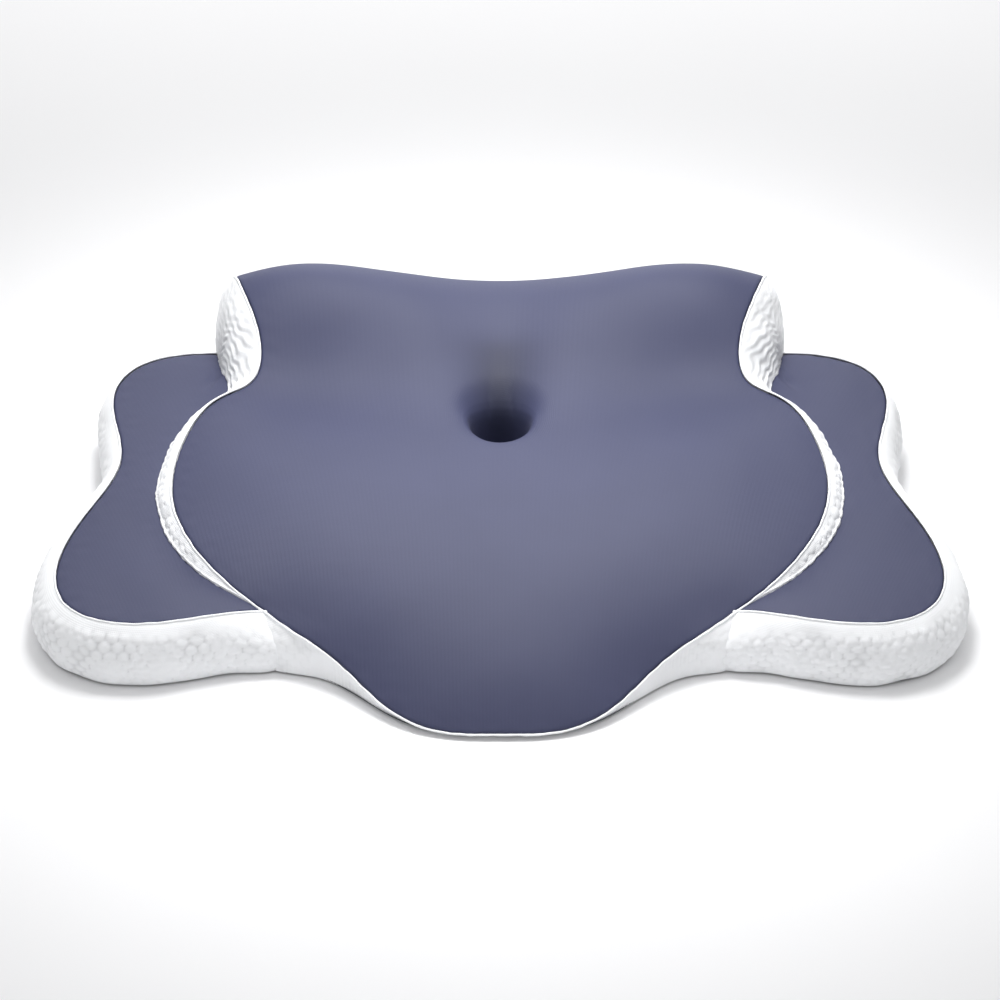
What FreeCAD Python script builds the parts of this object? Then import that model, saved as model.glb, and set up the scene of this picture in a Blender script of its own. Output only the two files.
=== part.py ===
import FreeCAD, Part
import math
import os

# Butterfly neck pillow: a contoured foam core in a sewn cover with a zip along the back.
# Millimetres. The origin is the middle of the footprint on the surface the pillow lies on.
# +X is the sleeper's side to side, +Y runs towards the tall neck bolster and its zip, +Z is up.

Vector = FreeCAD.Vector

# ---------------------------------------------------------------- driving dimensions
CLOTH = 3.0                  # cover cloth, with the padding behind it
SEAM_LIP = 0.6               # width of the band's turned edge beside the top panels
LINER = 0.8                  # thin knit sock that the foam wears under the cover
FLOOR_CLOTH = 2.0            # bottom panel
LINER_SPLIT = 30.0           # height of the seam between the two halves of the liner
NOSE_SPLIT = 60.0            # half the length of the low band under the nose
CRUMB = 60.0                 # volume under which a cut-off scrap is dropped, mm3

COLUMN = 50.0                # spacing of the crown's columns across the pillow
BACK = 198.0                 # plane of the flat back

# The crown over the middle: one row of control points for each y, from the floor behind the pillow,
# up the flat back, over the bolster, through the neck hollow and down to the nose.
# The heights are those at 0, 1, 2 ... columns from the centre line.
CROWN = (
    (BACK, (-60,) * 7),
    (BACK, (-20,) * 7),
    (BACK, (20,) * 7),
    (BACK, (60,) * 7),
    (BACK, (86, 88, 92, 95, 88, 78, 70)),
    (193, (103, 107, 116, 122, 106, 90, 80)),
    (166, (109, 115, 127, 134, 116, 100, 90)),
    (136, (101, 106, 111, 114, 108, 96, 84)),
    (108, (91, 91, 88, 86, 88, 84, 76)),
    (80, (81, 79, 75, 74, 77, 74, 68)),
    (52, (71, 72, 72, 74, 76, 66, 56)),
    (24, (69, 71, 74, 76, 74, 62, 52)),
    (-10, (68, 70, 74, 75, 70, 60, 50)),
    (-50, (64, 66, 69, 68, 64, 56, 48)),
    (-90, (55, 57, 58, 57, 53, 48, 44)),
    (-130, (43, 43, 38, 32, 36, 36, 36)),
    (-168, (28, 25, 8, -6, -8, -8, -8)),
    (-198, (6, 3, -10, -24, -28, -28, -28)),
    (-230, (-22, -26, -36, -44, -44, -44, -44)),
)

# The groove that runs down the bolster's front into the well: how deep and how wide it is at each y.
GROOVE = {166: (2, 40), 136: (6, 34), 108: (12, 27), 80: (18, 22), 52: (8, 20)}

# Half of the middle's outline, from the nose round the left side to behind the back.
# Each entry is the seam's x, y and height, then the x and y of the belly of the wall below it.
CENTRE_RIM = (
    (0, -198, 4, 0, -194),
    (-40, -198, 4, -40, -193),
    (-74, -182, 9, -70, -179),
    (-100, -153, 19, -98, -152),
    (-132, -129, 32, -130, -130),
    (-166, -113, 43, -167, -118),
    (-196, -88, 54, -204, -99),
    (-222, -48, 61, -236, -54),
    (-232, 0, 65, -253, 0),
    (-222, 48, 71, -242, 54),
    (-205, 80, 76, -224, 98),
    (-175, 88, 80, -204, 106),
    (-170, 119, 89, -207, 124),
    (-186, 150, 106, -214, 148),
    (-196, 184, 112, -216, 182),
    (-203, 225, 112, -217, 228),
    (-150, 240, 112, -150, 252),
    (0, 240, 112, 0, 252),
)

# The left wing's outline, all the way round, in the same terms. Its inner half lies under the middle.
WING_RIM = (
    (-150, 152, 60, -150, 164),
    (-200, 158, 60, -200, 170),
    (-243, 158, 56, -248, 172),
    (-273, 144, 52, -284, 154),
    (-285, 112, 52, -300, 115),
    (-276, 74, 52, -292, 74),
    (-266, 38, 52, -284, 42),
    (-275, 4, 49, -294, 10),
    (-293, -32, 44, -314, -24),
    (-306, -80, 40, -328, -84),
    (-292, -122, 41, -308, -136),
    (-252, -139, 44, -256, -156),
    (-208, -134, 47, -208, -147),
    (-170, -119, 47, -167, -133),
    (-128, -106, 47, -126, -115),
    (-100, -60, 50, -94, -62),
    (-100, 20, 54, -92, 20),
    (-112, 100, 58, -106, 106),
)

WING_COLUMN = 50.0           # spacing of the wing crown's columns, outwards from WING_START
WING_START = -50.0
WING_CROWN = (
    (310, (60, 60, 60, 60, 58, 54, 49, 44)),
    (230, (60, 60, 60, 60, 58, 54, 49, 44)),
    (150, (61, 61, 61, 61, 59, 55, 50, 45)),
    (70, (57, 57, 57, 57, 56, 53, 49, 43)),
    (-10, (52, 52, 52, 52, 52, 50, 45, 39)),
    (-90, (10, 24, 43, 47, 48, 46, 41, 34)),
    (-170, (-40, -20, 40, 49, 46, 42, 36, 30)),
    (-250, (-40, -20, 36, 48, 44, 38, 32, 26)),
    (-330, (-40, -20, 36, 48, 42, 36, 30, 24)),
)

# the wall between the floor and the seam: share of the seam's height, share of the belly
WALL_ROWS = ((0.0, 0.6), (0.25, 1.0), (0.8, 1.0), (1.0, 0.0))
WALL_TOP = 170.0             # the walls run on straight up to here before the crown cuts them

WELL_Y = 63.0                # vent well in the neck hollow
WELL_RADIUS = 19.0
WELL_FLOOR = 22.0
WELL_FLARE_Z = 46.0          # the well is straight up to here and opens like a trumpet above
WELL_MOUTH_Z = 80.0
WELL_MOUTH_RADIUS = 40.0
WELL_LINING = 1.2

BAND_TOP = 56.0              # seam across the back, between the top panel and the white band
ZIP_Z = 28.0
ZIP_SLOT = 6.0               # half the height of the slot between the two white bands
ZIP_HALF_LENGTH = 178.0
ZIP_POCKET = 4.4             # depth of the pocket in the foam behind the slider, from the back plane
TAPE_THICKNESS = 0.8
TAPE_DEPTH = 1.6             # outside face of the tape, in from the back plane
CHAIN_GAP = 0.4              # half the gap between the two rows, for the slider's web
CHAIN_WIDTH = 1.7
CHAIN_HEIGHT = 1.7
CHAIN_ROUND = 0.5
STOP_LENGTH = 3.0
STOP_PROUD = 0.5             # how far the end stops stand over the chain

SLIDER_X = 160.0             # where the closed slider rests
SLIDER_LENGTH = 9.0
SLIDER_HALF_WIDTH = 3.7
SLIDER_PLATE = 1.0
SLIDER_FLANGE = 1.1
SLIDER_PLAY = 0.3
SLIDER_WEB = 0.2             # half the web between the two plates
BAIL_HALF_LENGTH = 1.7
BAIL_HALF_WIDTH = 0.9
BAIL_HEIGHT = 2.3
BAIL_ROUND = 0.95
PIN_HEIGHT = 1.1             # pin axis over the slider's outer plate
PIN_RADIUS = 0.5
PIN_PLAY = 0.06
TAB_LENGTH = 22.0
TAB_HALF_WIDTH = 3.0
TAB_THICKNESS = 1.0
TAB_ROUND = 2.7
TAB_RIM = 0.5                # how much of the tab's side is left beyond the pin's ends
TAB_TAIL = 0.7               # how far the tab's arms reach past the pin
TAB_WINDOW = 2.5             # length of the window that clears the bail, from the pin
TAB_PLAY = 0.3

LABEL_X = -120.0
LABEL_WIDTH = 30.0
LABEL_HEIGHT = 16.0
LABEL_THICKNESS = 0.4

BIG = 400.0                  # larger than the pillow, for cutting boxes
SAME = 0.01                  # lengths and heights closer than this count as equal


# ---------------------------------------------------------------- helpers
def box(x0, x1, y0, y1, z0, z1):
    return Part.makeBox(x1 - x0, y1 - y0, z1 - z0, Vector(x0, y0, z0))


def cylinder(radius, height, base, axis=Vector(0, 0, 1)):
    return Part.makeCylinder(radius, height, base, axis)


def mirrored(shape):
    """The same piece on the right-hand side."""
    return shape.mirror(Vector(0, 0, 0), Vector(1, 0, 0))


def both_sides(half):
    """A closed ring from a half that starts and ends on the centre line."""
    other = [(-x, y, z, -belly_x, belly_y) for x, y, z, belly_x, belly_y in half[-2:0:-1]]
    return list(half) + other


def inward(points, depth):
    """Plan points of a closed ring, each moved in by depth, square to the line through its neighbours."""
    count = len(points)
    area = sum(
        points[i][0] * points[(i + 1) % count][1] - points[(i + 1) % count][0] * points[i][1]
        for i in range(count)
    )
    turn = 1.0 if area > 0 else -1.0
    moved = []
    for i, (x, y) in enumerate(points):
        along = Vector(*points[(i + 1) % count], 0) - Vector(*points[i - 1], 0)
        along.normalize()
        moved.append((x - turn * along.y * depth, y + turn * along.x * depth))
    return moved


def closed_strip(rows):
    """A smooth face through closed rows of control points; curved up the rows when there are four."""
    count = len(rows[0])
    degree = len(rows) - 1
    surface = Part.BSplineSurface()
    surface.buildFromPolesMultsKnots(
        [list(column) for column in zip(*rows)],
        [1] * (count + 1),
        [degree + 1] * 2,
        [float(i) for i in range(count + 1)],
        [0.0, 1.0],
        True,
        False,
        3,
        degree,
    )
    return surface.toShape()


def level_ring(face, height):
    """The closed edge of a strip that lies flat at this height."""
    return next(
        edge for edge in face.Edges
        if edge.isClosed() and abs(edge.BoundBox.ZMin - height) + abs(edge.BoundBox.ZMax - height) < SAME
    )


def sewn(faces):
    shell = Part.makeShell(faces)
    shell.sewShape()
    solid = Part.makeSolid(shell)
    solid.fix(SAME, SAME, SAME)
    return solid


def rim_solid(rim, depth=0.0):
    """Everything inside the walls of a rim, moved in by depth, from the floor to WALL_TOP."""
    seam = inward([(x, y) for x, y, *_ in rim], depth)
    belly = inward([(x, y) for *_, x, y in rim], depth)
    heights = [z for _, _, z, _, _ in rim]
    rows = [
        [
            Vector(sx + (bx - sx) * bulge, sy + (by - sy) * bulge, z * lift)
            for (sx, sy), (bx, by), z in zip(seam, belly, heights)
        ]
        for lift, bulge in WALL_ROWS
    ]
    wall = closed_strip(rows)
    collar = closed_strip([rows[-1], [Vector(x, y, WALL_TOP) for x, y in seam]])
    caps = [Part.Face(Part.Wire(level_ring(wall, 0.0))), Part.Face(Part.Wire(level_ring(collar, WALL_TOP)))]
    return sewn([wall, collar] + caps)


def plan_prism(rim, depth=0.0):
    """A straight prism on the seam's plan outline, moved in by depth."""
    count = len(rim)
    curve = Part.BSplineCurve()
    curve.buildFromPolesMultsKnots(
        [Vector(x, y, 0) for x, y in inward([(x, y) for x, y, *_ in rim], depth)],
        [1] * (count + 1),
        [float(i) for i in range(count + 1)],
        True,
        3,
    )
    return Part.Face(Part.Wire(curve.toShape())).extrude(Vector(0, 0, WALL_TOP))


def lowered(rows, depth):
    """Crown rows moved in by depth along their own slope, so that a skin keeps its thickness."""
    last = len(rows) - 1
    moved = []
    for j, row in enumerate(rows):
        before, after = rows[max(j - 1, 0)], rows[min(j + 1, last)]
        moved_row = []
        for i, point in enumerate(row):
            slope = after[i] - before[i]
            normal = Vector(0, slope.z, -slope.y)
            normal.normalize()
            moved_row.append(point - normal * depth)
        moved.append(moved_row)
    return moved


def crown_solid(rows):
    """Everything under an open net of control points, down to a flat floor well below the pillow."""
    surface = Part.BSplineSurface()
    row_knots = [float(i) for i in range(len(rows) + 4)]
    column_knots = [float(i) for i in range(len(rows[0]) + 4)]
    surface.buildFromPolesMultsKnots(
        rows, [1] * len(row_knots), [1] * len(column_knots), row_knots, column_knots, False, False, 3, 3
    )
    surface.segment(row_knots[3], row_knots[-4], column_knots[3], column_knots[-4])
    crown = surface.toShape()
    depth = min(crown.BoundBox.ZMin, 0.0) - 10
    faces = [crown]
    feet = []
    for edge in crown.Edges:
        first, last = [vertex.Point for vertex in edge.Vertexes]
        foot = Part.makeLine(Vector(first.x, first.y, depth), Vector(last.x, last.y, depth))
        feet.append(foot)
        faces.append(Part.makeRuledSurface(edge, foot))
    faces.append(Part.Face(Part.Wire(Part.__sortEdges__(feet))))
    return sewn(faces)


def halved(values):
    """Control values at half the spacing, for the same smooth curve."""
    fine = []
    for before, value, after in zip(values, values[1:], values[2:]):
        fine += [(before + value) / 2, (before + 6 * value + after) / 8]
    return fine + [(values[-2] + values[-1]) / 2]


def centre_crown(depth=0.0):
    rows = []
    step = COLUMN / 2
    for y, heights in CROWN:
        fine = halved(heights[:0:-1] + heights)
        first = -step * (len(fine) - 1) / 2
        groove, width = GROOVE.get(y, (0, 1))
        row = []
        for i, z in enumerate(fine):
            x = first + i * step
            row.append(Vector(x, y, z - groove * math.exp(-((x / width) ** 2))))
        rows.append(row)
    return crown_solid(lowered(rows, depth))


def wing_crown(depth=0.0):
    rows = [
        [Vector(WING_START - i * WING_COLUMN, y, z) for i, z in enumerate(heights)]
        for y, heights in WING_CROWN
    ]
    return crown_solid(lowered(rows, depth))


def without_crumbs(shape):
    """The real solids of a cut, without the scraps where two skins graze each other."""
    solids = [solid for solid in shape.Solids if solid.Volume > CRUMB]
    return solids[0] if len(solids) == 1 else Part.makeCompound(solids)


def save(name, shape):
    solids = shape.Solids
    assert solids and all(solid.isValid() for solid in solids), name
    shape.exportStep("parts/%s.step" % name)
    print("%-28s %d solid(s) %12.1f mm3" % (name, len(solids), shape.Volume))


# ---------------------------------------------------------------- foam, liner and cover
def centre_block(depth):
    return rim_solid(both_sides(CENTRE_RIM), depth).common(centre_crown(depth))


def wing_block(depth):
    """The left wing, kept under the middle's crown where its inner half lies below the middle."""
    over_middle = plan_prism(both_sides(CENTRE_RIM)).cut(centre_crown(depth))
    return rim_solid(WING_RIM, depth).common(wing_crown(depth)).cut(over_middle)


def pillow_block(depth, floor):
    """The whole butterfly, its skin moved in by depth, standing on floor."""
    wing = wing_block(depth)
    return centre_block(depth).fuse([wing, mirrored(wing)]).common(box(-BIG, BIG, -BIG, BIG, floor, BIG))


def zip_pocket():
    return box(
        -ZIP_HALF_LENGTH, ZIP_HALF_LENGTH, BACK - ZIP_POCKET, BIG, ZIP_Z - ZIP_SLOT, ZIP_Z + ZIP_SLOT
    )


def well_shape(growth, floor):
    """The space of the well, straight and then flared, with its wall moved out by growth."""
    profile = [
        (0, floor),
        (WELL_RADIUS + growth, floor),
        (WELL_RADIUS + growth, WELL_FLARE_Z),
        (WELL_MOUTH_RADIUS + growth, WELL_MOUTH_Z),
        (0, WELL_MOUTH_Z),
    ]
    points = [Vector(radius, WELL_Y, z) for radius, z in profile]
    face = Part.Face(Part.makePolygon(points + points[:1]))
    return face.revolve(Vector(0, WELL_Y, 0), Vector(0, 0, 1), 360)


def well_hole():
    return well_shape(WELL_LINING, WELL_FLOOR)


def make_core():
    """Foam and the two halves of the liner round it."""
    lined = pillow_block(CLOTH, FLOOR_CLOTH)
    foam = pillow_block(CLOTH + LINER, FLOOR_CLOTH + LINER)
    openings = well_hole().fuse(zip_pocket())
    liner = lined.cut(foam).cut(openings)
    save("foam_core", foam.cut(openings))
    save("inner_liner_upper", without_crumbs(liner.common(box(-BIG, BIG, -BIG, BIG, LINER_SPLIT, BIG))))
    save("inner_liner_lower", without_crumbs(liner.common(box(-BIG, BIG, -BIG, BIG, 0, LINER_SPLIT))))


def make_centre_cover():
    """Top panel, side bands, the low band under the nose and the two bands across the back."""
    ring = both_sides(CENTRE_RIM)
    off_floor = box(-BIG, BIG, -BIG, BIG, FLOOR_CLOTH, BIG)
    low_back = box(-BIG, BIG, 0, BIG, FLOOR_CLOTH, BAND_TOP)
    inside_walls = rim_solid(ring, CLOTH)
    skin = centre_crown().cut(centre_crown(CLOTH))
    # over the crown the panel ends at its seam in plan; on the flat back it runs out to the walls
    over = skin.common(plan_prism(ring, SEAM_LIP)).common(off_floor).cut([low_back, well_hole()])
    down = skin.common(inside_walls).common(box(-BIG, BIG, BACK - CLOTH, BIG, BAND_TOP, WALL_TOP))
    save("centre_top_panel", without_crumbs(over.fuse(down)))

    wing = wing_block(0.0)
    band = centre_block(0.0).common(off_floor).cut([inside_walls, over, wing, mirrored(wing)])
    nose = box(-NOSE_SPLIT, NOSE_SPLIT, -BIG, 0, 0, BIG)
    left_band = without_crumbs(band.common(box(-BIG, 0, -BIG, BIG, 0, BIG)).cut(nose))
    save("centre_side_band_left", left_band)
    save("centre_side_band_right", mirrored(left_band))
    save("nose_band", without_crumbs(band.common(nose)))

    back = skin.common(inside_walls).common(low_back).cut(zip_pocket())
    save("back_band_upper", without_crumbs(back.common(box(-BIG, BIG, 0, BIG, ZIP_Z, BIG))))
    save("back_band_lower", without_crumbs(back.common(box(-BIG, BIG, 0, BIG, 0, ZIP_Z))))


def make_wing_covers():
    centre = centre_block(0.0)
    wing = wing_block(0.0)
    off_floor = box(-BIG, BIG, -BIG, BIG, FLOOR_CLOTH, BIG)
    top = wing_crown().cut(wing_crown(CLOTH)).common(plan_prism(WING_RIM, SEAM_LIP)).cut(centre)
    band = wing.common(off_floor).cut([rim_solid(WING_RIM, CLOTH), top, centre])
    for name, shape in (("wing_top_panel", top), ("wing_side_band", band)):
        left = without_crumbs(shape)
        save(name + "_left", left)
        save(name + "_right", mirrored(left))


def make_bottom_panel():
    wing = wing_block(0.0)
    butterfly = centre_block(0.0).fuse([wing, mirrored(wing)])
    save("bottom_panel", butterfly.common(box(-BIG, BIG, -BIG, BIG, 0, FLOOR_CLOTH)))


def make_well_lining():
    cup = well_hole().cut(well_shape(0, WELL_FLOOR + WELL_LINING))
    save("well_lining", cup.common(centre_crown()))


# ---------------------------------------------------------------- zip
def along_zip(y0, y1, z0, z1, half_length=ZIP_HALF_LENGTH, x=0.0):
    """A bar along the zip: depths in from the back plane, heights from the zip's middle."""
    return box(x - half_length, x + half_length, BACK - y1, BACK - y0, ZIP_Z + z0, ZIP_Z + z1)


def below_zip(shape):
    """The same piece on the lower side of the zip's middle."""
    return shape.mirror(Vector(0, 0, ZIP_Z), Vector(0, 0, 1))


def make_zip():
    chain_top = TAPE_DEPTH - CHAIN_HEIGHT
    tape = along_zip(TAPE_DEPTH, TAPE_DEPTH + TAPE_THICKNESS, CHAIN_GAP, ZIP_SLOT)
    chain = along_zip(chain_top, TAPE_DEPTH, CHAIN_GAP, CHAIN_GAP + CHAIN_WIDTH)
    outer_edges = [
        edge for edge in chain.Edges
        if edge.Length > ZIP_HALF_LENGTH and edge.CenterOfMass.y > BACK - TAPE_DEPTH + CHAIN_ROUND
    ]
    stops = [
        along_zip(
            chain_top - STOP_PROUD, TAPE_DEPTH, -CHAIN_GAP - CHAIN_WIDTH, CHAIN_GAP + CHAIN_WIDTH,
            STOP_LENGTH / 2, side * (ZIP_HALF_LENGTH - STOP_LENGTH / 2),
        )
        for side in (-1, 1)
    ]
    chain = chain.makeFillet(CHAIN_ROUND, outer_edges).cut(stops)
    save("zipper_tape_upper", tape)
    save("zipper_tape_lower", below_zip(tape))
    save("zipper_chain_upper", chain)
    save("zipper_chain_lower", below_zip(chain))
    save("zipper_end_stops", Part.makeCompound(stops))
    make_slider(chain_top)


def slider_flanges(plate_under, half):
    """The two low walls that hold the teeth together, a little shorter than the plate."""
    upper = along_zip(
        plate_under, TAPE_DEPTH - SLIDER_PLAY, SLIDER_HALF_WIDTH - SLIDER_FLANGE, SLIDER_HALF_WIDTH,
        half - SLIDER_FLANGE, SLIDER_X,
    )
    return [upper, below_zip(upper)]


def slider_bail(plate_face, pin_base):
    bail = along_zip(
        plate_face - BAIL_HEIGHT, plate_face, -BAIL_HALF_WIDTH, BAIL_HALF_WIDTH, BAIL_HALF_LENGTH, SLIDER_X
    )
    crown = [
        edge for edge in bail.Edges
        if abs(edge.Length - 2 * BAIL_HALF_WIDTH) < SAME and edge.CenterOfMass.y > pin_base.y
    ]
    return bail.makeFillet(BAIL_ROUND, crown)


def make_slider(chain_top):
    half = SLIDER_LENGTH / 2
    wide = SLIDER_HALF_WIDTH
    plate_under = chain_top - SLIDER_PLAY
    plate_face = plate_under - SLIDER_PLATE
    inner_face = TAPE_DEPTH + TAPE_THICKNESS + SLIDER_PLAY
    pin_base = Vector(SLIDER_X, BACK - plate_face + PIN_HEIGHT, ZIP_Z)

    outer = along_zip(plate_face, plate_under, -wide, wide, half, SLIDER_X)
    corners = [edge for edge in outer.Edges if abs(edge.Length - SLIDER_PLATE) < SAME]
    inner = along_zip(inner_face, inner_face + SLIDER_PLATE, -wide, wide, half, SLIDER_X)
    web = along_zip(plate_under, inner_face, -SLIDER_WEB, SLIDER_WEB, half, SLIDER_X)
    slider = outer.makeFillet(SLIDER_FLANGE, corners).fuse(
        [inner, web, slider_bail(plate_face, pin_base)] + slider_flanges(plate_under, half)
    )
    bore = cylinder(PIN_RADIUS + PIN_PLAY, 2 * wide, pin_base - Vector(0, 0, wide))
    save("zipper_slider", slider.cut(bore))
    save("zipper_pull_tab", pull_tab(pin_base))


def pull_tab(pin_base):
    """A tab with a window over the bail and a pin across the window, lying towards -X."""
    half = TAB_THICKNESS / 2
    plate = box(
        pin_base.x - TAB_LENGTH, pin_base.x + TAB_TAIL, pin_base.y - half, pin_base.y + half,
        ZIP_Z - TAB_HALF_WIDTH, ZIP_Z + TAB_HALF_WIDTH,
    )
    corners = [
        edge for edge in plate.Edges
        if abs(edge.Length - TAB_THICKNESS) < SAME and edge.CenterOfMass.x < pin_base.x - TAB_LENGTH / 2
    ]
    plate = plate.makeFillet(TAB_ROUND, corners)
    clear = BAIL_HALF_WIDTH + TAB_PLAY
    window = box(
        pin_base.x - TAB_WINDOW, pin_base.x + TAB_TAIL,
        pin_base.y - TAB_THICKNESS, pin_base.y + TAB_THICKNESS, ZIP_Z - clear, ZIP_Z + clear,
    )
    reach = TAB_HALF_WIDTH - TAB_RIM
    pin = cylinder(PIN_RADIUS, 2 * reach, pin_base - Vector(0, 0, reach))
    return plate.cut(window).fuse(pin)


def make_care_label():
    save("care_label", box(
        LABEL_X - LABEL_WIDTH / 2, LABEL_X + LABEL_WIDTH / 2, BACK, BACK + LABEL_THICKNESS,
        BAND_TOP - LABEL_HEIGHT, BAND_TOP,
    ))


os.makedirs("parts", exist_ok=True)
make_core()
make_centre_cover()
make_wing_covers()
make_bottom_panel()
make_well_lining()
make_zip()
make_care_label()
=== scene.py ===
import math
import bpy
import numpy as np
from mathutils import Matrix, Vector
from mathutils.geometry import delaunay_2d_cdt
from mathutils.kdtree import KDTree


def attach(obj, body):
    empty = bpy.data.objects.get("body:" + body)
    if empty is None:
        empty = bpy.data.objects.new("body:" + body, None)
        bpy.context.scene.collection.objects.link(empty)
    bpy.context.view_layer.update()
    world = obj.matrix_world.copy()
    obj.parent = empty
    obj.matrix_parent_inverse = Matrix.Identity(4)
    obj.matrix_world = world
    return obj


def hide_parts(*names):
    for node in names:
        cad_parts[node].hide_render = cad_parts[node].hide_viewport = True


# Butterfly neck pillow: a sewn, zipped cover over a moulded foam core.
# The shape tables are in millimetres, in the pillow's own frame; meshes are made in metres.

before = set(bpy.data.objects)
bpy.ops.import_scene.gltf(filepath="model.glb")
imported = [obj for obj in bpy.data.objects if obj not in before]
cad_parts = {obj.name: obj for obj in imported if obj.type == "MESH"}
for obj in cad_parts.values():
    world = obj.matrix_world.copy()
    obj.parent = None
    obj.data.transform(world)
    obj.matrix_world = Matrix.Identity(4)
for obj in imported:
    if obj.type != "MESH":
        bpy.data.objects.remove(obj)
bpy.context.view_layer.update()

MM = 0.001
BACK = 198.0                 # plane of the flat back
BAND_TOP = 56.0              # seam across the back, under the blue panel
FLOOR = 2.0                  # where the walls meet the bottom panel
LIP = 1.5                    # width of the band's turned edge along a seam
EDGE_ROLL = 2.0              # how far a cloth's edge rolls down into its seam
TOP_SPACING = 3.0            # mesh spacing on the blue panels
BAND_SPACING = 1.25          # mesh spacing on the white bands
CENTRE_ROWS = 64             # mesh rows up the middle's wall
WING_ROWS = 44               # and up a wing's wall
BACK_ROWS = 24               # and up each band across the back
BACK_COLUMNS = 330
PUFF_WIDTH = 9.0             # pitch of the white bands' puffs
PUFF_HEIGHT = 5.6
FULL_VALLEY = 0.7            # a valley between puffs this deep takes all of the painted shade
RIDGE_SPACING = 6.0          # the ridges on the bolster's ends
RIDGE_WAVE = 13.0
UNDER_WING = 6.0             # how far the middle's side band runs down under the wing's top
NOSE_END = 1.35              # the middle's rim parameter where the nose band meets the side band
FOOT = FLOOR - 0.5           # the bands' lowest row, hidden behind the bottom panel's edge
EDGE_RINGS = (0.5, 1.1, 1.8, 2.8, 4.6)   # depths of the finer mesh rows along a blue panel's edge

# The cover is stretched across the inner corners at the foot, where a wing's front wall meets the middle's.
INNER_CORNER = (-150.0, -116.0)
BRIDGE_PULL = 10.0           # how far the cloth stands in front of the foam there
BRIDGE_REACH = 19.0          # and how far round each corner it reaches
BRIDGE_FADE = (20.0, 44.0)   # heights between which the bridge fades out

# The crown over the middle: heights at 0, 50 ... 300 mm from the centre line, one row for each y.
CROWN = (
    (BACK, (-60,) * 7),
    (BACK, (-20,) * 7),
    (BACK, (20,) * 7),
    (BACK, (60,) * 7),
    (BACK, (86, 88, 92, 95, 88, 78, 70)),
    (193, (103, 107, 116, 122, 106, 90, 80)),
    (166, (109, 115, 127, 134, 116, 100, 90)),
    (136, (101, 106, 111, 114, 108, 96, 84)),
    (108, (91, 91, 88, 86, 88, 84, 76)),
    (80, (81, 79, 75, 74, 77, 74, 68)),
    (52, (71, 72, 72, 74, 76, 66, 56)),
    (24, (69, 71, 74, 76, 74, 62, 52)),
    (-10, (68, 70, 74, 75, 70, 60, 50)),
    (-50, (64, 66, 69, 68, 64, 56, 48)),
    (-90, (55, 57, 58, 57, 53, 48, 44)),
    (-130, (43, 43, 38, 32, 36, 36, 36)),
    (-168, (28, 25, 8, -6, -8, -8, -8)),
    (-198, (6, 3, -10, -24, -28, -28, -28)),
    (-230, (-22, -26, -36, -44, -44, -44, -44)),
)
CROWN_COLUMN = 25.0          # the columns are halved before use
GROOVE = {166: (2, 40), 136: (6, 34), 108: (12, 27), 80: (18, 22), 52: (8, 20)}   # y: depth, width

# Half of the middle's outline: the seam's x, y and height, then the x and y of the wall's belly.
CENTRE_HALF = (
    (0, -198, 4, 0, -194),
    (-40, -198, 4, -40, -193),
    (-74, -182, 9, -70, -179),
    (-100, -153, 19, -98, -152),
    (-132, -129, 32, -130, -130),
    (-166, -113, 43, -167, -118),
    (-196, -88, 54, -204, -99),
    (-222, -48, 61, -236, -54),
    (-232, 0, 65, -253, 0),
    (-222, 48, 71, -242, 54),
    (-205, 80, 76, -224, 98),
    (-175, 88, 80, -204, 106),
    (-170, 119, 89, -207, 124),
    (-186, 150, 106, -214, 148),
    (-196, 184, 112, -216, 182),
    (-203, 225, 112, -217, 228),
    (-150, 240, 112, -150, 252),
    (0, 240, 112, 0, 252),
)

# The left wing's outline, all the way round; its inner half lies under the middle.
WING_RIM = (
    (-150, 152, 60, -150, 164),
    (-200, 158, 60, -200, 170),
    (-243, 158, 56, -248, 172),
    (-273, 144, 52, -284, 154),
    (-285, 112, 52, -300, 115),
    (-276, 74, 52, -292, 74),
    (-266, 38, 52, -284, 42),
    (-275, 4, 49, -294, 10),
    (-293, -32, 44, -314, -24),
    (-306, -80, 40, -328, -84),
    (-292, -122, 41, -308, -136),
    (-252, -139, 44, -256, -156),
    (-208, -134, 47, -208, -147),
    (-170, -119, 47, -167, -133),
    (-128, -106, 47, -126, -115),
    (-100, -60, 50, -94, -62),
    (-100, 20, 54, -92, 20),
    (-112, 100, 58, -106, 106),
)
WING_COLUMN = 50.0           # spacing of the wing crown's columns, outwards from WING_START
WING_START = -50.0
WING_ROW = 80.0
WING_CROWN = (
    (310, (60, 60, 60, 60, 58, 54, 49, 44)),
    (230, (60, 60, 60, 60, 58, 54, 49, 44)),
    (150, (61, 61, 61, 61, 59, 55, 50, 45)),
    (70, (57, 57, 57, 57, 56, 53, 49, 43)),
    (-10, (52, 52, 52, 52, 52, 50, 45, 39)),
    (-90, (10, 24, 43, 47, 48, 46, 41, 34)),
    (-170, (-40, -20, 40, 49, 46, 42, 36, 30)),
    (-250, (-40, -20, 36, 48, 44, 38, 32, 26)),
    (-330, (-40, -20, 36, 48, 42, 36, 30, 24)),
)

WALL_LIFT = (0.0, 0.25, 0.8, 1.0)        # the wall's control rows: share of the seam's height
WALL_BULGE = (0.6, 1.0, 1.0, 0.0)        # and share of the belly

WELL_Y = 63.0                # vent well in the neck hollow
WELL_BOTTOM = 24.0
WELL_REACH = 40.0            # where the cloth starts to bend down into the well
WELL_RADIUS = 18.0           # about where the well's wall stands
WELL_SOFTNESS = 0.28         # share of the depth by which the cloth behind the well gives way
CREASES = ((-7.5, 0.03, 0.7), (8.5, -0.06, 0.6))    # into the well: x at y 85, lean and depth
CREASE_WIDTH = 1.3
GROOVE_PAINTED_SHADE = 0.8            # how much painted shade the groove takes: its share of the blue's darker colour
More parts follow.
